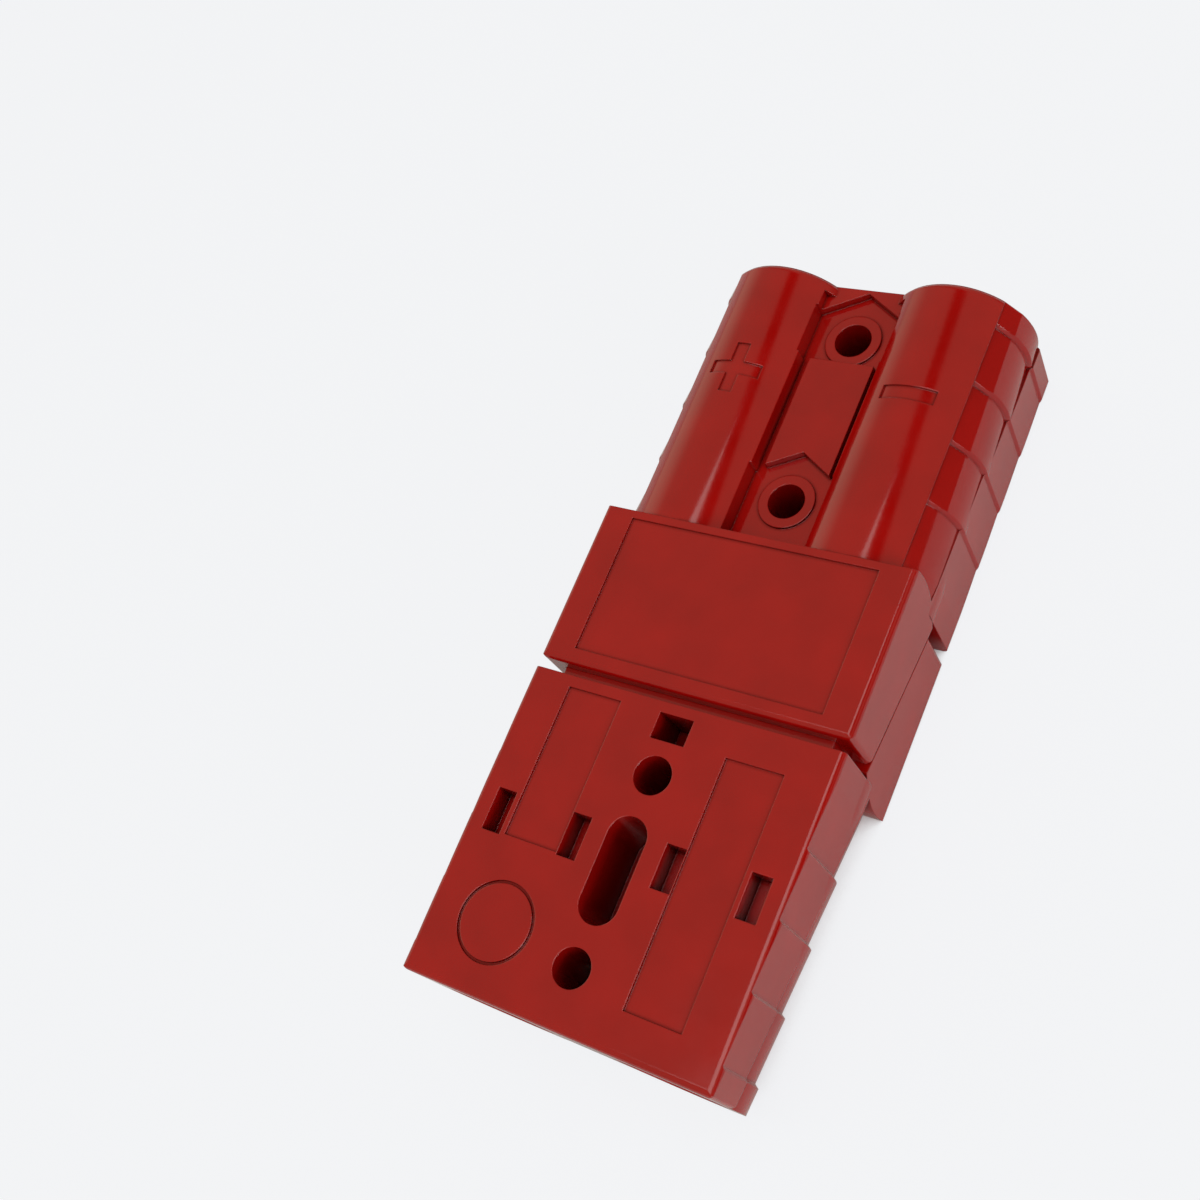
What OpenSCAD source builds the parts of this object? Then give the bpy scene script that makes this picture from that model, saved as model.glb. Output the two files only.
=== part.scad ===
// Genderless two-pole power connector, a mated pair of identical halves.
//
// Half A carries its barrels on top and its flat mounting face underneath.
// Half B is the same moulding turned half a turn about the X axis, so that
// each hood closes over the other half's platform and the contact blades
// lie face to face on the middle plane of the pair.
//
// Frame: X across the pair, Y along the cables, Z up. Half A's cables leave
// towards +Y. The origin is under the middle of the pair, on the surface it
// rests on. Inside the modules, z = 0 is the middle plane.

/* [Housing] */
// Width over the hood
body_w = 56; // [55:0.5:64]
// Height from flat face to hood top
body_h = 26; // [25.5:0.5:30]
// Middle of the pair to the cable end
cable_end = 67; // [66.5:0.5:78]
// Middle of the pair to the shoulder at the flat face
shoulder_y = 14.1; // [13.9:0.1:15]
// Middle of the pair to the hood's front edge
hood_reach = 12.1; // [11:0.1:12.4]
// Middle of the pair to the hood's rear edge
hood_rear = 16.9; // [16.6:0.1:17.6]
// Thickness of the hood's top and side walls
hood_wall = 3.2; // [2.6:0.1:3.6]
// Edge radius of the moulding
edge_r = 1; // [0.6:0.1:1.4]

/* [Barrels] */
// Distance of each barrel axis from the housing's side
pole_inset = 12.3; // [11.9:0.1:12.8]
// How far the barrels' tops lie below the hood's top
barrel_sink = 0.1; // [0.1:0.1:0.6]
// Radius of the smooth part of a barrel
barrel_r = 12.6; // [12:0.1:12.7]
// Half width of the channel between the barrels
channel_half_w = 7.4; // [7.2:0.1:8]
// Depth of the web's pad below the hood's top
pad_depth = 5; // [4.4:0.1:5.4]
// Depth of the grooves and nut pocket floors below the hood's top
groove_depth = 6.4; // [5.8:0.1:7]
// Half width of the raised pad between the grooves
pad_half_w = 5.9; // [4.8:0.1:6.4]
// Distance from the cable end to the end of the channel
channel_gap = 2; // [1:0.1:3]

/* [Grip scales] */
// Number of scale crests on each side
scale_count = 4; // [2:1:4]
// Distance from one crest to the next
scale_pitch = 10.95; // [9.5:0.05:11.4]
// Distance from the cable end to the nearest crest
scale_first = 4.3; // [2.5:0.1:5]
// How far a crest stands over the valley before it
scale_rise = 0.7; // [0.5:0.1:1.2]
// How far a crest stands over the valley before it on the flat sides
side_rise = 0.4; // [0.2:0.1:0.8]
// Length of the steep face of a scale
scale_face = 0.5; // [0.3:0.1:1]
// How far the crests lie below the smooth barrel surface
scale_sink = 0.2; // [0.1:0.05:0.5]
// Angle above horizontal at which the smooth surface stops
grip_angle = 48; // [44:1:54]

/* [Mounting] */
// Diameter of the two mounting holes
mount_hole_d = 6.4; // [5.5:0.1:7]
// Middle of the pair to the nearer mounting hole
mount_near_y = 26; // [25.8:0.1:27]
// Spacing of the two mounting holes
mount_spacing = 31.5; // [30:0.1:32]
// Width across flats of the nut pockets
nut_pocket_af = 15.4; // [14.8:0.1:16.4]
// Diameter of the raised ring round each hole in its nut pocket
nut_ring_d = 9.8; // [8.6:0.1:11]
// Height of that ring
nut_ring_h = 0.4; // [0.2:0.1:0.8]

/* [Flat face] */
// Width of the obround slot
slot_w = 6.8; // [5:0.1:7.4]
// Length of the obround slot over its round ends
slot_len = 17.6; // [12:0.1:19]
// Depth of the slot
slot_depth = 12; // [6:0.5:15]
// Width of the latch window
window_w = 6; // [4.5:0.1:7]
// Length of the latch window along the housing
window_len = 4.4; // [4.2:0.1:4.8]
// Middle of the pair to the middle of the window
window_y = 18.1; // [17.8:0.1:18.6]
// Depth of the window
window_depth = 8.6; // [5:0.1:9]
// Width of the small core pockets
core_w = 3.4; // [2:0.1:4]
// Length of the small core pockets
core_len = 7.2; // [4:0.1:9]
// Depth of the small core pockets
core_depth = 4; // [2:0.1:4.6]
// Distance between the middles of one pole's two core pockets
core_span = 14.4; // [12:0.1:15]
// Depth of the bare marking recesses
recess_depth = 0.35; // [0.2:0.05:0.6]
// Width of the two marking recesses on the flat face
recess_w = 9.9; // [6:0.1:11]
// Middle of the housing to the middle of each marking recess
recess_x = 15.3; // [14:0.1:16]
// Length of the left marking recess
recess_left_len = 26; // [20:0.5:30]
// Distance from the shoulder to the left recess
recess_left_gap = 1.9; // [1:0.1:4]
// Length of the right marking recess
recess_right_len = 40.4; // [30:0.2:42]
// Distance from the cable end to the right recess
recess_right_gap = 6.6; // [4:0.1:8]
// Radius of the ring groove near the cable end
ring_r = 6.7; // [4:0.1:7.5]
// Distance from the cable end to the middle of the ring
ring_gap = 11.7; // [9:0.1:14]

/* [Contacts] */
// Outer radius of the crimp tube
crimp_r = 7; // [6.4:0.1:7.2]
// Bore radius of the crimp tube
crimp_bore_r = 5.5; // [4.8:0.1:5.8]
// Length of the crimp tube
crimp_len = 24; // [18:0.5:25]
// Middle of the pair to the front of the crimp tube
crimp_front = 31; // [30.5:0.5:32]
// Width of the contact blade
blade_w = 14.2; // [11:0.1:14.4]
// Thickness of the contact blade
blade_t = 3; // [2.4:0.1:3.2]
// Middle of the pair to the tip of the blade
blade_reach = 10.6; // [9:0.1:10.8]
// How far the blade's tip turns away from the mating face
blade_drop = 2; // [1:0.1:2.2]
// Clearance round the contact in the housing
contact_gap = 0.3; // [0.2:0.05:0.4]
// Radius of the cable entry
entry_r = 8.4; // [7.8:0.1:8.8]
// Depth of the cable entry
entry_depth = 10; // [6:0.5:11]

/* [Springs] */
// Width of a leaf spring
spring_w = 9; // [6:0.1:11]
// Thickness of the spring strip
spring_t = 0.7; // [0.4:0.05:0.9]
// Length of a spring from end to end
spring_len = 20; // [14:0.5:20]
// Height of the spring's bow
spring_bow = 1.8; // [1.2:0.1:2]

/* [Fit] */
// Gap between the two housings where they nest
nest_gap = 0.2; // [0.1:0.05:0.3]
// Gap between the side walls of the two hoods
parting_gap = 0.3; // [0.1:0.05:0.5]
// Gap between a platform and the middle plane
face_gap = 0.15; // [0.05:0.05:0.3]

/* [Hidden] */
$fn = 96;

half_w = body_w / 2;
half_h = body_h / 2;
eps = 0.02;   // overrun of a cut past the surface that it opens
far = 200;    // longer than any side of the part
poles = [-1, 1];
pole_x = half_w - pole_inset;
pole_z = half_h - barrel_sink - barrel_r;
pad_z = half_h - pad_depth;
groove_z = half_h - groove_depth;

// Grip scales: a saw-tooth of radii on the barrels, of widths on the slab.
crest_r = barrel_r - scale_sink;
valley_r = crest_r - scale_rise;
side_crest_x = half_w;
side_valley_x = side_crest_x - side_rise;
scale_run = scale_pitch - scale_face;
flat_half_angle = 9.5;   // half the angle spanned by a scale's flat
side_top_front = pole_z + 2.7;   // top of the slab's side at the shoulder
side_top_slope = 6.5;    // its fall towards the cable end, in degrees

// Hood and platform: each half's platform fills the other half's hood.
cavity_half_w = half_w - hood_wall - nest_gap;
cavity_top = half_h - hood_wall;
platform_half_w = cavity_half_w - nest_gap;
platform_depth = cavity_top - nest_gap;
tip_overlap = 0.4;       // how far the platform reaches past its own hood
tip_room = 0.8;          // room behind the other half's platform tip
platform_tip = hood_reach + tip_overlap;
cavity_rear = platform_tip + tip_room;
parting_rise = 2;        // rise of the side wall's lower edge at the front
hood_arc_r = 18;         // radius of the curved rear edge on the hood's side
hood_arc_z = half_h - 4.4;   // height at which that edge reaches furthest back

// Bare recesses: a frame is left round the one on the hood, and the two on
// the flat face start from the shoulder and from the cable end.
hood_frame_side = 5.7;
hood_frame_front = 2.6;
hood_frame_rear = 1.9;
recess_left_y = shoulder_y + recess_left_gap;
recess_right_y = cable_end - recess_right_gap;
ring_w = 0.5;

// Contact and spring seats.
bend_r = 1.6;            // outer radius of the turned-down blade tip
hook_len = 3;            // length of the tip that is turned down
blade_slot_half_w = blade_w / 2 + contact_gap;
contact_bore_r = crimp_r + contact_gap;
neck_len = 6;            // taper from the crimp tube to the blade
seat_taper = 2.5;        // cone at the bottom of the contact's bore
crimp_floor = 2;         // thickness of the crimp tube's closed end
contact_stop = crimp_front - neck_len;
hook_rear = hook_len - blade_reach;
spring_room = 0.5;       // from the turned-down tip's seat to the spring
spring_front = hook_rear + contact_gap + spring_room;
spring_mid = spring_front + spring_len / 2;
spring_foot = blade_t + spring_bow + spring_t;

mount_ys = [mount_near_y, mount_near_y + mount_spacing];
slot_y = mount_near_y + mount_spacing / 2;
core_shift = 3;          // core pockets lie this much nearer the shoulder
core_y = slot_y - core_shift;

// ------------------------------------------------------------------ helpers

// Children drawn along +Z, turned to run along +Y.
module along_y() { rotate([-90, 0, 0]) children(); }

// A round bar along Y from y0 to y1.
module bar(r, y0, y1) { along_y() translate([0, 0, y0]) cylinder(r = r, h = y1 - y0); }

// An outline in (y, z), extruded across X over the width w.
module across(w) { rotate([90, 0, 90]) translate([0, 0, -w / 2]) linear_extrude(w) children(); }

// A block between two opposite corners.
module block(low, high) { translate(low) cube(high - low); }

// A rectangle with round corners.
module round_rect(low, high, r) {
    translate(low + [r, 0]) square([high.x - low.x - 2 * r, high.y - low.y]);
    translate(low + [0, r]) square([high.x - low.x, high.y - low.y - 2 * r]);
    for (x = [low.x + r, high.x - r], y = [low.y + r, high.y - r])
        translate([x, y]) circle(r);
}

// Children on both poles, mirrored left to right, as solids or as outlines.
module on_poles() { for (side = poles) mirror([side < 0 ? 1 : 0, 0, 0]) children(); }
module on_poles_2d() { for (side = poles) mirror([side < 0 ? 1 : 0, 0]) children(); }

// Middle of the pair to crest i, counted from the cable end.
function crest_y(i) = cable_end - scale_first - i * scale_pitch;

// The saw-tooth, from the cable end to the shoulder, as [distance, y] points.
function scale_edge(low, high) = concat(
    [[high - (high - low) * scale_first / scale_run, cable_end]],
    [for (i = [0 : scale_count - 1])
        each [[high, crest_y(i)], [low, crest_y(i) - scale_face]]],
    [[high, crest_y(scale_count)], [high, shoulder_y]]);

// ------------------------------------------------------------------ housing

// The flat half of the body. Its sides carry the lower part of the scales
// and end at a plane that falls towards the cable end.
module slab() {
    difference() {
        intersection() {
            translate([0, 0, -half_h]) linear_extrude(body_h) on_poles_2d()
                polygon(concat([[0, shoulder_y], [0, cable_end]],
                               scale_edge(side_valley_x, side_crest_x)));
            translate([0, 0, -half_h]) linear_extrude(body_h)
                round_rect([-side_crest_x, -far], [side_crest_x, cable_end], edge_r);
            along_y() linear_extrude(cable_end)
                round_rect([-side_crest_x, -far], [side_crest_x, half_h], edge_r);
            across(body_w + 4)
                round_rect([-far, -half_h], [cable_end, far], edge_r);
        }
        translate([0, shoulder_y, side_top_front]) rotate([-side_top_slope, 0, 0])
            translate([-far / 2, -far / 2, 0]) cube(far);
    }
}

// The scaled outer side of a barrel: the saw-tooth turned about its axis,
// with a flat along the upper edge of every scale.
module scaled_barrel() {
    difference() {
        along_y() rotate_extrude()
            polygon(concat([[0, shoulder_y], [0, cable_end]], scale_edge(valley_r, crest_r)));
        rotate([0, flat_half_angle - grip_angle, 0])
            for (i = [0 : scale_count - 1])
                translate([crest_r * cos(flat_half_angle), crest_y(i), -half_h])
                    rotate([0, 0, atan(scale_rise / scale_run)])
                        translate([0, -scale_face, 0]) cube([far, scale_pitch, body_h]);
    }
}

// The smooth upper side of a barrel, rounded over at the cable end.
module smooth_barrel() {
    difference() {
        along_y() rotate_extrude() {
            translate([0, shoulder_y])
                square([barrel_r - edge_r, cable_end - shoulder_y]);
            translate([0, shoulder_y])
                square([barrel_r, cable_end - edge_r - shoulder_y]);
            translate([barrel_r - edge_r, cable_end - edge_r]) circle(edge_r);
        }
        rotate([0, 90 - grip_angle, 0])
            translate([0, 0, -far / 2]) cube(far);
    }
}

// A nut pocket round the hole at y: the half of a hexagon that points to
// the cable end, with straight sides from there down to y_low.
module nut_pocket(y, y_low) {
    side = nut_pocket_af / 2;
    corner = nut_pocket_af / sqrt(3);
    translate([0, 0, groove_z]) linear_extrude(half_h)
        polygon([[-side, y_low], [side, y_low], [side, y + corner / 2],
                 [0, y + corner], [-side, y + corner / 2]]);
}

// Both barrels with the web that joins them, and the web's grooves and nut
// pockets, which bite a little into the barrels.
module barrels() {
    difference() {
        intersection() {
            union() {
                on_poles() translate([pole_x, 0, pole_z]) {
                    scaled_barrel();
                    smooth_barrel();
                }
                block([-pole_x, shoulder_y, -half_h / 2], [pole_x, cable_end, pad_z]);
            }
            block([-far, 0, -half_h / 2], [far, far, far]);
        }
        block([-channel_half_w, hood_rear - eps, pad_z],
              [channel_half_w, cable_end - channel_gap, half_h]);
        on_poles()
            block([pad_half_w, mount_ys[0], groove_z], [channel_half_w, mount_ys[1], half_h]);
        nut_pocket(mount_ys[0], hood_rear - eps);
        nut_pocket(mount_ys[1], mount_ys[1] - nut_ring_d / 2);
    }
    for (y = mount_ys) translate([0, y, groove_z - 1])
        cylinder(d = nut_ring_d, h = 1 + nut_ring_h);
}

// The hood over the mating end: a box with a curved rear edge, open towards
// the front and below, whose side walls end at the slanting parting line.
module hood() {
    parting_slope = atan(parting_rise / hood_reach);
    difference() {
        intersection() {
            translate([0, 0, -half_h]) linear_extrude(body_h)
                round_rect([-half_w, -hood_reach], [half_w, far], edge_r);
            along_y() translate([0, 0, -hood_reach]) linear_extrude(hood_reach + hood_rear)
                round_rect([-half_w, -half_h], [half_w, far], edge_r);
            across(body_w) intersection() {
                round_rect([-hood_reach, -far], [far, half_h], edge_r);
                translate([hood_rear - hood_arc_r, hood_arc_z]) circle(hood_arc_r, $fn = 180);
            }
        }
        rotate([-parting_slope, 0, 0])
            translate([-far / 2, -far / 2, parting_gap / 2 - far]) cube(far);
        block([-cavity_half_w, -far, -half_h], [cavity_half_w, cavity_rear, cavity_top]);
    }
}

// The platform that carries the contact blades into the other half's hood.
module platform() {
    translate([0, 0, -platform_depth]) linear_extrude(platform_depth - face_gap)
        round_rect([-platform_half_w, -platform_tip], [platform_half_w, shoulder_y + 2], edge_r);
}

// Seat of one contact and its spring: cable entry, crimp bore, blade slot,
// room for the turned-down tip, and the spring's pocket below the blade.
module contact_seat() {
    translate([pole_x, 0, pole_z]) {
        bar(contact_bore_r, contact_stop, cable_end + eps);
        bar(entry_r, cable_end - entry_depth, cable_end + eps);
        along_y() translate([0, 0, cable_end - edge_r])
            cylinder(r1 = entry_r, r2 = entry_r + edge_r + eps, h = edge_r + eps);
        along_y() translate([0, 0, contact_stop - seat_taper])
            cylinder(r1 = contact_bore_r - seat_taper, r2 = contact_bore_r, h = seat_taper);
    }
    translate([pole_x, 0, 0]) {
        block([-blade_slot_half_w, -blade_reach - contact_gap, -blade_t],
              [blade_slot_half_w, contact_stop + 1, contact_gap]);
        block([-blade_slot_half_w, -blade_reach - contact_gap, -blade_t - blade_drop],
              [blade_slot_half_w, hook_rear + contact_gap, 0]);
        block([-spring_w / 2 - contact_gap, spring_front - contact_gap, -spring_foot],
              [spring_w / 2 + contact_gap, spring_front + spring_len + contact_gap, 0]);
    }
}

// Holes, pockets and bare recesses of the flat face.
module flat_face_cuts() {
    for (y = mount_ys) translate([0, y, -half_h - eps])
        cylinder(d = mount_hole_d, h = body_h + 2 * eps);
    translate([0, slot_y, -half_h - eps]) linear_extrude(slot_depth + eps) {
        square([slot_w, slot_len - slot_w], center = true);
        for (end = poles) translate([0, end * (slot_len - slot_w) / 2]) circle(d = slot_w);
    }
    block([-window_w / 2, window_y - window_len / 2, -half_h - eps],
          [window_w / 2, window_y + window_len / 2, window_depth - half_h]);
    on_poles() for (end = poles)
        translate([pole_x + end * core_span / 2, core_y, -half_h - eps])
            linear_extrude(core_depth + eps) square([core_w, core_len], center = true);
    block([-recess_x - recess_w / 2, recess_left_y, -half_h - eps],
          [-recess_x + recess_w / 2, recess_left_y + recess_left_len, recess_depth - half_h]);
    block([recess_x - recess_w / 2, recess_right_y - recess_right_len, -half_h - eps],
          [recess_x + recess_w / 2, recess_right_y, recess_depth - half_h]);
    translate([-recess_x, cable_end - ring_gap, -half_h - eps]) linear_extrude(recess_depth + eps)
        difference() {
            circle(ring_r);
            circle(ring_r - ring_w);
        }
}

// One housing in its own frame: flat face below, barrels and hood above.
module housing() {
    difference() {
        union() {
            slab();
            barrels();
            hood();
            platform();
        }
        on_poles() contact_seat();
        flat_face_cuts();
        block([hood_frame_side - half_w, hood_frame_front - hood_reach, half_h - recess_depth],
              [half_w - hood_frame_side, hood_rear - hood_frame_rear, half_h + eps]);
    }
}

// ------------------------------------------------------- contacts, springs

// One contact: crimp tube, tapering neck, and a flat blade whose tip turns
// down over the front of its seat.
module contact() {
    color([0.80, 0.81, 0.83]) translate([pole_x, 0, 0]) {
        translate([0, 0, pole_z]) difference() {
            bar(crimp_r, crimp_front, crimp_front + crimp_len);
            bar(crimp_bore_r, crimp_front + crimp_floor, crimp_front + crimp_len + eps);
        }
        intersection() {
            translate([0, 0, pole_z]) bar(crimp_r, contact_stop, crimp_front);
            across(body_w) polygon([[contact_stop, -blade_t], [crimp_front, pole_z - crimp_r],
                                    [crimp_front, pole_z + crimp_r], [contact_stop, 0]]);
        }
        across(blade_w) {
            translate([bend_r - blade_reach, -blade_t])
                square([contact_stop + blade_reach - bend_r, blade_t]);
            translate([-blade_reach, -blade_t - blade_drop])
                square([hook_len, blade_t + blade_drop - bend_r]);
            translate([bend_r - blade_reach, -bend_r]) circle(bend_r);
        }
    }
}

// One leaf spring: a strip bowed up against the underside of its blade, with
// its two ends on the floor of the pocket.
module spring() {
    bow_r = (pow(spring_len / 2, 2) + pow(spring_bow, 2)) / (2 * spring_bow);
    color([0.70, 0.71, 0.72]) translate([pole_x, 0, 0]) across(spring_w)
        intersection() {
            translate([spring_mid, -blade_t - bow_r]) difference() {
                circle(bow_r, $fn = 360);
                circle(bow_r - spring_t, $fn = 360);
            }
            translate([spring_front, -spring_foot])
                square([spring_len, spring_foot - blade_t]);
        }
}

// -------------------------------------------------------------------- pair

// Half A as modelled, and half B turned half a turn about the X axis.
module half_a() { translate([0, 0, half_h]) children(); }
module half_b() { translate([0, 0, half_h]) rotate([180, 0, 0]) children(); }

module left() { mirror([1, 0, 0]) children(); }

module housing_a() { color([0.62, 0.07, 0.05]) half_a() housing(); }
module housing_b() { color([0.66, 0.08, 0.06]) half_b() housing(); }
module contact_a_left() { half_a() left() contact(); }
module contact_a_right() { half_a() contact(); }
module contact_b_left() { half_b() left() contact(); }
module contact_b_right() { half_b() contact(); }
module spring_a_left() { half_a() left() spring(); }
module spring_a_right() { half_a() spring(); }
module spring_b_left() { half_b() left() spring(); }
module spring_b_right() { half_b() spring(); }

housing_a();
housing_b();
contact_a_left();
contact_a_right();
contact_b_left();
contact_b_right();
spring_a_left();
spring_a_right();
spring_b_left();
spring_b_right();
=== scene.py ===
# A mated pair of genderless two-pole power connectors, dressed over its CAD.
import bmesh
import bpy
import math
import numpy as np
from mathutils import Matrix, Vector


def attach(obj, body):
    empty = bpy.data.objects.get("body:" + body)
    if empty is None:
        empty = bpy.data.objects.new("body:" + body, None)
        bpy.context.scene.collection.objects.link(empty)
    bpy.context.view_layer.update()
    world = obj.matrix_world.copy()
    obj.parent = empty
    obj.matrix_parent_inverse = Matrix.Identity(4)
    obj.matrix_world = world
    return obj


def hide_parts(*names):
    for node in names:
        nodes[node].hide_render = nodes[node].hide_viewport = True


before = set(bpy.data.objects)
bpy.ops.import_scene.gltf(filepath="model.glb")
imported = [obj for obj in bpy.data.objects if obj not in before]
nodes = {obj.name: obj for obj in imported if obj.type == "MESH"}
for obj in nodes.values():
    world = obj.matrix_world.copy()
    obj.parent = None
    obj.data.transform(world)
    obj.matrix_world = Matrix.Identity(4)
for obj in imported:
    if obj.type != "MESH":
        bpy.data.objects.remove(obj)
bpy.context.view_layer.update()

# ---------------------------------------------------------------- the floor
# A wide sheet of plain pale paper, which the pair lies on. The camera sees
# it nearly white, and it keeps the pair's shadow.
floor_half = 3.0
paper_tone = (0.78, 0.79, 0.82, 1)
paper_white = (0.925, 0.935, 0.957, 1)
white_share = 0.90
shut_in_reach = 0.04
shut_in, in_the_open = 0.10, 0.35


def reckon(tree, operation, first, second=0.0):
    """The two values put together by `operation`, such as MULTIPLY for their product.

    Each is a socket or a number, and ABSOLUTE takes the first alone.
    """
    node = tree.nodes.new("ShaderNodeMath")
    node.operation = operation
    for place, value in enumerate((first, second)):
        if isinstance(value, bpy.types.NodeSocket):
            tree.links.new(value, node.inputs[place])
        else:
            node.inputs[place].default_value = value
    return node.outputs[0]


def carry(tree, value, low, high, to_low=0.0, to_high=1.0, kind="LINEAR"):
    """The value moved from the span low to high onto the span to_low to to_high.

    It is to_low plus the share of the way from low to high times (to_high - to_low), and
    the share is held between 0 and 1, with a soft start and end for kind SMOOTHSTEP.
    """
    node = tree.nodes.new("ShaderNodeMapRange")
    node.interpolation_type = kind
    node.inputs["From Min"].default_value = low
    node.inputs["From Max"].default_value = high
    node.inputs["To Min"].default_value = to_low
    node.inputs["To Max"].default_value = to_high
    tree.links.new(value, node.inputs["Value"])
    return node.outputs[0]


def blend(tree, share, first, second):
    """A mix of two shaders with `share` of the second."""
    node = tree.nodes.new("ShaderNodeMixShader")
    for place, shader in enumerate((share, first, second)):
        tree.links.new(shader, node.inputs[place])
    return node.outputs[0]


floor_mesh = bpy.data.meshes.new("floor")
floor_mesh.from_pydata([(-floor_half, -floor_half, 0), (floor_half, -floor_half, 0),
                        (floor_half, floor_half, 0), (-floor_half, floor_half, 0)],
                       [], [(0, 1, 2, 3)])
floor = bpy.data.objects.new("floor", floor_mesh)
bpy.context.scene.collection.objects.link(floor)

paper = bpy.data.materials.new("pale paper")
paper.use_nodes = True
tree = paper.node_tree
tree.nodes.clear()
matt = tree.nodes.new("ShaderNodeBsdfDiffuse")
matt.inputs["Color"].default_value = paper_tone
white = tree.nodes.new("ShaderNodeEmission")
white.inputs["Color"].default_value = paper_white
# Floor that the pair shuts in, under its holes, isn't whitened.
open_air = tree.nodes.new("ShaderNodeAmbientOcclusion")
open_air.samples = 8
open_air.inputs["Distance"].default_value = shut_in_reach
clear = carry(tree, open_air.outputs["AO"], shut_in, in_the_open)
seen = tree.nodes.new("ShaderNodeLightPath").outputs["Is Camera Ray"]
share = reckon(tree, "MULTIPLY", reckon(tree, "MULTIPLY", seen, clear), white_share)
surface = tree.nodes.new("ShaderNodeOutputMaterial").inputs["Surface"]
tree.links.new(blend(tree, share, matt.outputs[0], white.outputs[0]), surface)
floor_mesh.materials.append(paper)

# --------------------------------------------------------------- the studio
# A dim room, darkest near the horizon and brighter overhead, with two soft
# panels of light. The camera itself sees a pale white all round.
room_tone = (1.0, 0.95, 0.72, 1)
overhead = (-0.25, 0, 1)
overhead_from, overhead_full = 0.0, 0.32
low_light, high_light = 0.10, 0.40
across_gap = (0.36, 0.93, 0)
gap_middle, gap_dark, gap_edge = 0.448, 0.035, 0.060
rightward = (1, 0, 0)
glow_from, glow_full, glow_light = -0.72, -0.92, 0.45
backdrop_white = (0.896, 0.904, 0.922, 1)


def lean(tree, way, toward):
    """How far a direction leans toward another, as their dot product."""
    node = tree.nodes.new("ShaderNodeVectorMath")
    node.operation = "DOT_PRODUCT"
    node.inputs[1].default_value = toward
    tree.links.new(way, node.inputs[0])
    return node.outputs["Value"]


def soft_panel(name, place, size, power):
    """A soft light at `place`, facing the middle of the pair; `size` is (width, height)."""
    lamp = bpy.data.lights.new(name, "AREA")
    lamp.shape = "RECTANGLE"
    lamp.size, lamp.size_y = size
    lamp.energy = power
    holder = bpy.data.objects.new(name, lamp)
    holder.location = place
    holder.rotation_euler = (-Vector(place)).to_track_quat("-Z", "Y").to_euler()
    bpy.context.scene.collection.objects.link(holder)


world = bpy.data.worlds.new("studio")
bpy.context.scene.world = world
world.use_nodes = True
tree = world.node_tree
room = tree.nodes["Background"]
room.inputs["Color"].default_value = room_tone
way = tree.nodes.new("ShaderNodeTexCoord").outputs["Generated"]
ceiling = carry(tree, lean(tree, way, overhead), overhead_from, overhead_full,
                low_light, high_light, "SMOOTHSTEP")
# A narrow dark gap in the ceiling, seen as a line along each barrel.
off_gap = reckon(tree, "SUBTRACT", lean(tree, way, across_gap), gap_middle)
gap = carry(tree, reckon(tree, "ABSOLUTE", off_gap), gap_dark, gap_edge, kind="SMOOTHSTEP")
# A bright patch low on the left, which lights up the edges that face it.
left_glow = carry(tree, lean(tree, way, rightward), glow_from, glow_full,
                  0.0, glow_light, "SMOOTHSTEP")
light = reckon(tree, "ADD", reckon(tree, "MULTIPLY", gap, ceiling), left_glow)
tree.links.new(light, room.inputs["Strength"])
backdrop = tree.nodes.new("ShaderNodeBackground")
backdrop.inputs["Color"].default_value = backdrop_white
seen = tree.nodes.new("ShaderNodeLightPath").outputs["Is Camera Ray"]
tree.links.new(blend(tree, seen, room.outputs[0], backdrop.outputs[0]),
               tree.nodes["World Output"].inputs["Surface"])

soft_panel("ceiling panel", place=(0.16, -0.14, 1.30), size=(1.1, 1.1), power=7.5)
soft_panel("side panel", place=(1.15, -0.45, 0.40), size=(0.5, 0.4), power=4.2)

# --------------------------------------------------------------- the camera
# It looks steeply down on the pair, rolled so that the pair runs from lower
# left to upper right. Half A, with its barrels up, is the upper right one.
MM = 0.001
camera_at = Vector((107.778, -69.788, 229.700)) * MM
camera_aim = Vector((-24.537, -7.461, 13.0)) * MM
camera_roll = math.radians(-45.0458)
camera_lens, sensor_width = 45.7654, 36
picture_size, picture_shift = 1200, 65
nearest_seen = 10 * MM

camera = bpy.data.cameras.new("camera")
camera.sensor_width = sensor_width
camera.lens = camera_lens
camera.shift_y = picture_shift / picture_size
camera.clip_start = nearest_seen
eye = bpy.data.objects.new("camera", camera)
toward = (camera_aim - camera_at).normalized()
level = toward.cross(Vector((0, 0, 1))).normalized()
upright = level.cross(toward)
right = level * math.cos(camera_roll) + upright * math.sin(camera_roll)
up = right.cross(toward)
turn = Matrix((right, up, -toward)).transposed().to_4x4()
eye.matrix_world = Matrix.Translation(camera_at) @ turn
bpy.context.scene.collection.objects.link(eye)
bpy.context.scene.camera = eye
bpy.context.scene.view_settings.view_transform = "Standard"

# ------------------------------------------------------------- the housings
# Each housing is one moulding in red polycarbonate with a bright gloss. Its
# edges are softened by a small round, as the mould leaves them.
red_deep, red_bright = (0.34, 0.0028, 0.0020, 1), (0.40, 0.0036, 0.0026, 1)
red_patch = 9 * MM
gloss_patch, gloss_low, gloss_high = 4 * MM, 0.08, 0.12
crease_reach, crease_shut, crease_open, crease_least = 0.6 * MM, 0.45, 0.95, 0.35
hollow_reach, hollow_shut, hollow_open, hollow_least = 15 * MM, 0.05, 0.28, 0.12
polycarbonate_ior = 1.55
plain_gloss = 0.5
edge_round = 0.3 * MM
grain_size, grain_strength, grain_height = 0.8 * MM, 0.08, 0.02 * MM


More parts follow.
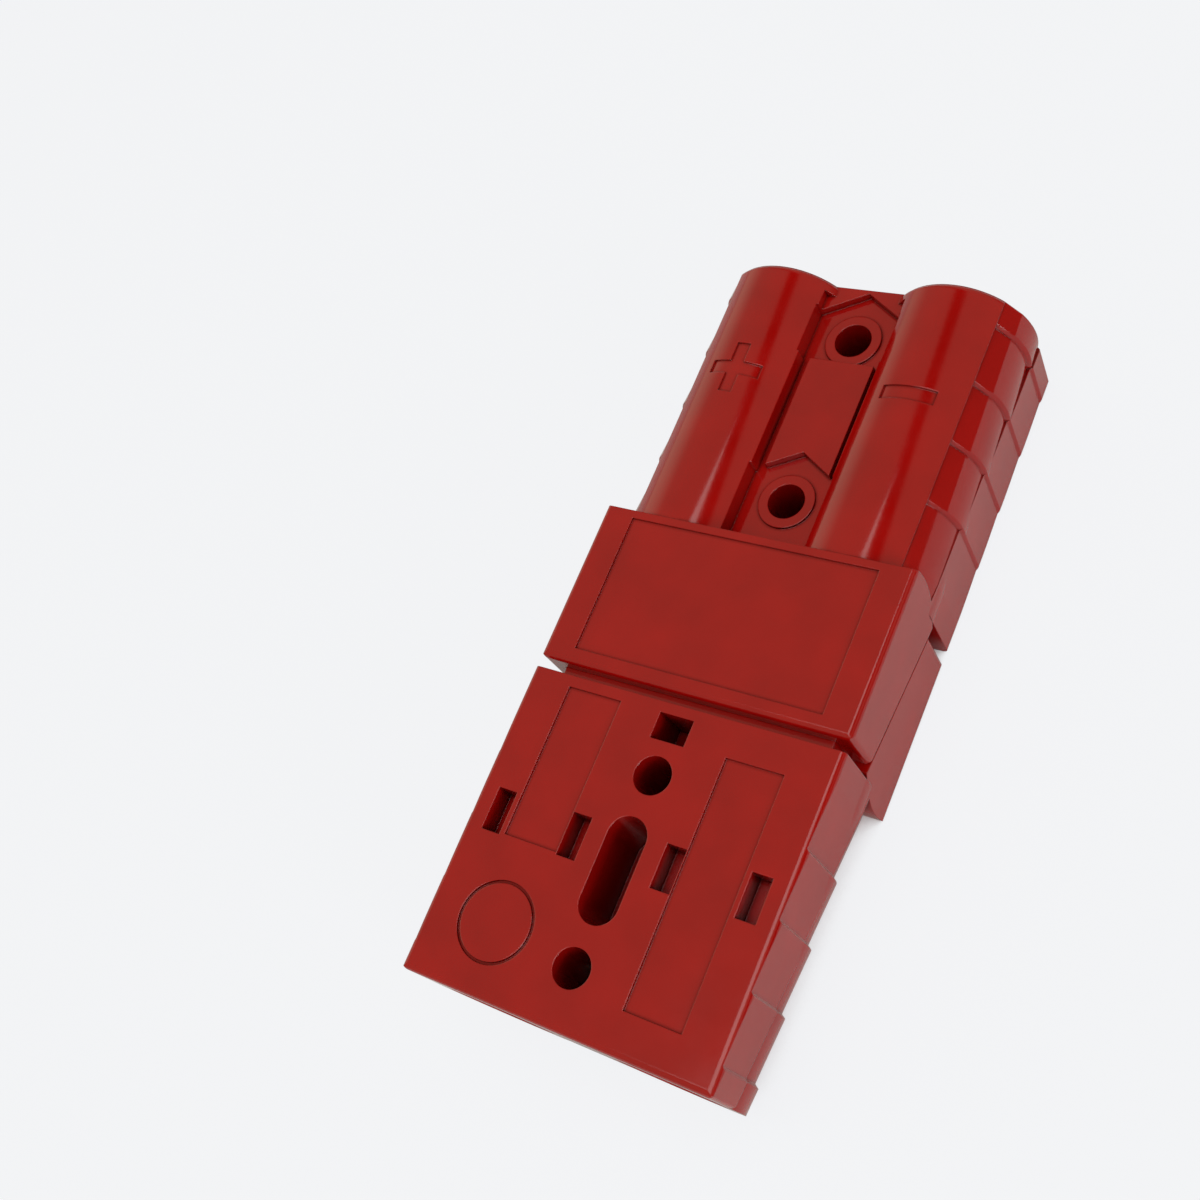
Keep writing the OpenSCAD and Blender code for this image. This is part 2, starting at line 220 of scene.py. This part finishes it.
def finish_named(name, metallic=0.0):
    """A new material, with its node tree, its main shader and the piece's own coordinates."""
    finish = bpy.data.materials.new(name)
    finish.use_nodes = True
    tree = finish.node_tree
    skin = tree.nodes["Principled BSDF"]
    skin.inputs["Metallic"].default_value = metallic
    return finish, tree, skin, tree.nodes.new("ShaderNodeTexCoord").outputs["Object"]


def speckle(tree, place, size, low, high):
    """A noise with blobs about `size` metres wide, spread from `low` to `high`.

    The noise mostly lies between 0.3 and 0.7, so that span is carried to low and high.
    """
    noise = tree.nodes.new("ShaderNodeTexNoise")
    noise.inputs["Scale"].default_value = 1 / size
    noise.inputs["Detail"].default_value = 3.0
    tree.links.new(place, noise.inputs["Vector"])
    return carry(tree, noise.outputs[0], 0.3, 0.7, low, high)


def two_tones(tree, share, first, second):
    """A colour between two, with `share` of the second."""
    mix = tree.nodes.new("ShaderNodeMix")
    mix.data_type = "RGBA"
    mix.inputs["A"].default_value = first
    mix.inputs["B"].default_value = second
    tree.links.new(share, mix.inputs["Factor"])
    return mix.outputs["Result"]


def openness(tree, reach):
    """How open a spot of the piece is to the air within `reach`: 1 is wide open."""
    node = tree.nodes.new("ShaderNodeAmbientOcclusion")
    node.samples = 4
    node.only_local = True
    node.inputs["Distance"].default_value = reach
    return node.outputs["AO"]


def coat(kind, finish):
    """Puts a finish on every CAD node whose name starts with `kind`."""
    for name in nodes:
        if name.startswith(kind):
            nodes[name].data.materials.clear()
            nodes[name].data.materials.append(finish)


red, tree, skin, place = finish_named("red moulded housing")
# Painted shade: the colour and the gloss are both held back in fine creases and deep hollows,
# more the more shut in a spot is.
crease_shade = carry(tree, openness(tree, crease_reach), crease_shut, crease_open, crease_least)
hollow_shade = carry(tree, openness(tree, hollow_reach), hollow_shut, hollow_open, hollow_least)
shade = reckon(tree, "MULTIPLY", crease_shade, hollow_shade)
tint = two_tones(tree, speckle(tree, place, red_patch, 0.0, 1.0), red_deep, red_bright)
shaded = tree.nodes.new("ShaderNodeVectorMath")
shaded.operation = "SCALE"
tree.links.new(tint, shaded.inputs[0])
tree.links.new(shade, shaded.inputs["Scale"])
tree.links.new(shaded.outputs[0], skin.inputs["Base Color"])
# The painted shade in creases and hollows dims the gloss as well as the colour.
tree.links.new(reckon(tree, "MULTIPLY", shade, plain_gloss), skin.inputs["Specular IOR Level"])
tree.links.new(speckle(tree, place, gloss_patch, gloss_low, gloss_high),
               skin.inputs["Roughness"])
skin.inputs["IOR"].default_value = polycarbonate_ior
soft_edge = tree.nodes.new("ShaderNodeBevel")
soft_edge.samples = 6
soft_edge.inputs["Radius"].default_value = edge_round
grain = tree.nodes.new("ShaderNodeBump")
grain.inputs["Strength"].default_value = grain_strength
grain.inputs["Distance"].default_value = grain_height
tree.links.new(speckle(tree, place, grain_size, 0.0, 1.0), grain.inputs["Height"])
tree.links.new(soft_edge.outputs[0], grain.inputs["Normal"])
tree.links.new(grain.outputs[0], skin.inputs["Normal"])
coat("housing", red)

# ------------------------------------------------------- the polarity marks
# A plus and a minus are sunk into the tops of the barrels, one mark to a pole
# and part of the same moulding. Shallow curved blocks cut them in a copy of
# each housing, which keeps the housing's own smooth shading.
# The barrels as the CAD has them: their radius, and their axes from the pair's middle.
barrel_r = 12.6 * MM
axis_x, axis_z = 15.7 * MM, 0.3 * MM
mid_z = 13 * MM
mark_y, mark_shift = 46 * MM, -0.3 * MM
mark_reach, mark_half_w, mark_depth = 4.8 * MM, 1.25 * MM, 0.3 * MM
plus_side, minus_side = -1, 1
strokes = ((plus_side, mark_reach, mark_half_w), (plus_side, mark_half_w, mark_reach),
           (minus_side, mark_reach, mark_half_w))
same_spot = 0.001 * MM


def curved_block(side, half_arc, half_len, steps=13):
    """A block bent round the barrel on that side, to cut one stroke of a mark.

    Point (k, n) of its four long edges stands at radius r_k, a mark's depth under or over
    the barrel, at n equal steps of arc from -half_arc to half_arc, and half_len before or
    after the mark's middle along y.
    """
    turn = ((mark_shift + np.linspace(-half_arc, half_arc, steps)) / barrel_r)[None, :]
    radius = (barrel_r + mark_depth * np.array([-1, -1, 1, 1]))[:, None]
    along = (mark_y + half_len * np.array([-1, 1, 1, -1]))[:, None]
    points = np.stack([side * axis_x + radius * np.sin(turn), along + 0 * turn,
                       axis_z + radius * np.cos(turn)], axis=2)
    number = np.arange(4 * steps).reshape(4, steps)
    after = np.roll(number, -1, axis=0)
    around = np.stack([number[:, :-1], after[:, :-1], after[:, 1:], number[:, 1:]], axis=2)
    ends = [number[::-1, 0], number[:, -1]]
    mesh = bpy.data.meshes.new("mark_cutter")
    mesh.from_pydata(points.reshape(-1, 3).tolist(), [],
                     np.concatenate([around.reshape(-1, 4), ends]).tolist())
    return mesh


def corners_of(mesh):
    """Place, shading normal and face normal of every face corner of a mesh."""
    spots = np.empty(len(mesh.vertices) * 3)
    mesh.vertices.foreach_get("co", spots)
    index = np.empty(len(mesh.loops), dtype=int)
    mesh.loops.foreach_get("vertex_index", index)
    shading = np.empty(len(mesh.loops) * 3)
    mesh.corner_normals.foreach_get("vector", shading)
    flat = np.empty(len(mesh.polygons) * 3)
    mesh.polygons.foreach_get("normal", flat)
    count = np.empty(len(mesh.polygons), dtype=int)
    mesh.polygons.foreach_get("loop_total", count)
    return (spots.reshape(-1, 3)[index], shading.reshape(-1, 3),
            np.repeat(flat.reshape(-1, 3), count, axis=0))


def spot_keys(spots):
    """One whole number for each spot, the same for spots that lie together.

    Each coordinate is made positive and counted in steps of same_spot, x in the lowest
    20 bits, y in the next 20 and z above them.
    """
    past_the_pair = 0.2
    steps = np.round((spots + past_the_pair) / same_spot).astype(np.int64)
    return steps @ np.array([1, 2**20, 2**40])


def barrel_normals(spots, side_up):
    """At each spot, the way straight out from the nearer barrel's axis, and the distance."""
    x, y, z = spots.T
    axis = np.stack([np.sign(x) * axis_x, y, mid_z + side_up * axis_z + 0 * z], axis=1)
    radius = np.linalg.norm(spots - axis, axis=1)
    return (spots - axis) / np.maximum(radius, MM)[:, None], radius


def shade_like(source, cut, side_up):
    """Gives the cut mesh the housing's own shading.

    Each corner takes the normal that the housing has at that spot and is nearest its
    face's. A new corner on a barrel, or on the floor of a mark, points straight out from
    the barrel's axis, and any other new corner keeps its face's normal.
    """
    nearest_allowed = 0.8
    corners_at_a_spot = 24
    nearly_along = 0.99
    slack = 0.02 * MM
    old_spots, old_shading, _ = corners_of(source)
    spots, _, flat = corners_of(cut)
    old_keys, keys = spot_keys(old_spots), spot_keys(spots)
    order = np.argsort(old_keys, kind="stable")
    first = np.searchsorted(old_keys[order], keys)
    normals, best = flat.copy(), np.full(len(keys), nearest_allowed)
    for step in range(corners_at_a_spot):
        entry = order[np.minimum(first + step, len(order) - 1)]
        match = (old_shading[entry] * flat).sum(axis=1)
        better = (old_keys[entry] == keys) & (match > best)
        normals[better] = old_shading[entry][better]
        best[better] = match[better]
    out, radius = barrel_normals(spots, side_up)
    on_barrel = (radius < barrel_r + slack) & (radius > barrel_r - mark_depth - slack)
    new = (best == nearest_allowed) & on_barrel & ((out * flat).sum(axis=1) > nearly_along)
    normals[new] = out[new]
    cut.polygons.foreach_set("use_smooth", np.ones(len(cut.polygons), dtype=bool))
    cut.normals_split_custom_set(normals)


def marked_copy(source, name, side_up):
    """A copy of the housing with the three strokes of its marks cut in.

    side_up is 1 for the half whose barrels are up and -1 for the half turned over.
    """
    mesh = source.data.copy()
    merged = bmesh.new()
    merged.from_mesh(mesh)
    bmesh.ops.remove_doubles(merged, verts=merged.verts, dist=same_spot)
    merged.to_mesh(mesh)
    merged.free()
    piece = bpy.data.objects.new(name, mesh)
    bpy.context.scene.collection.objects.link(piece)
    for side, half_arc, half_len in strokes:
        cutter = bpy.data.objects.new("mark_cutter", curved_block(side, half_arc, half_len))
        cutter.data.transform(Matrix.Diagonal((1, side_up, side_up, 1)))
        cutter.data.transform(Matrix.Translation((0, 0, mid_z)))
        bpy.context.scene.collection.objects.link(cutter)
        pocket = piece.modifiers.new("mark", "BOOLEAN")
        pocket.operation = "DIFFERENCE"
        pocket.solver = "EXACT"
        pocket.object = cutter
    settled = piece.evaluated_get(bpy.context.evaluated_depsgraph_get())
    cut = bpy.data.meshes.new_from_object(settled)
    for pocket in list(piece.modifiers):
        bpy.data.objects.remove(pocket.object)
    piece.modifiers.clear()
    shade_like(source.data, cut, side_up)
    piece.data = cut
    return piece


for name, side_up in (("housing_a", 1), ("housing_b", -1)):
    moulding = marked_copy(nodes[name], name + "_moulding", side_up)
    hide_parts(name)
    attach(moulding, "root")

# ------------------------------------------------------------- the contacts
# Each contact is turned and pressed from copper and plated with silver. The
# plating is satin, and a little duller in patches.
silver_bright, silver_dull = (0.80, 0.79, 0.76, 1), (0.66, 0.63, 0.58, 1)
dull_patch, satin_patch = 3 * MM, 1.2 * MM
satin_low, satin_high = 0.22, 0.36

silver, tree, skin, place = finish_named("silver plated copper", metallic=1.0)
dullness = speckle(tree, place, dull_patch, 0.0, 1.0)
tree.links.new(two_tones(tree, dullness, silver_bright, silver_dull), skin.inputs["Base Color"])
tree.links.new(speckle(tree, place, satin_patch, satin_low, satin_high),
               skin.inputs["Roughness"])
coat("contact", silver)

# -------------------------------------------------------------- the springs
# Each spring is a strip of stainless steel, rolled bright, with the fine
# lines of the rolling running along it.
steel_bright, steel_dull = (0.60, 0.61, 0.63, 1), (0.50, 0.50, 0.51, 1)
line_stretch = (1, 0.03, 1)
line_width, rough_line_width = 0.3 * MM, 0.4 * MM
bright_low, bright_high = 0.18, 0.34

strip, tree, skin, place = finish_named("bright steel strip", metallic=1.0)
rolled = tree.nodes.new("ShaderNodeMapping")
rolled.inputs["Scale"].default_value = line_stretch
tree.links.new(place, rolled.inputs["Vector"])
lines = speckle(tree, rolled.outputs[0], line_width, 0.0, 1.0)
tree.links.new(two_tones(tree, lines, steel_bright, steel_dull), skin.inputs["Base Color"])
tree.links.new(speckle(tree, rolled.outputs[0], rough_line_width, bright_low, bright_high),
               skin.inputs["Roughness"])
coat("spring", strip)
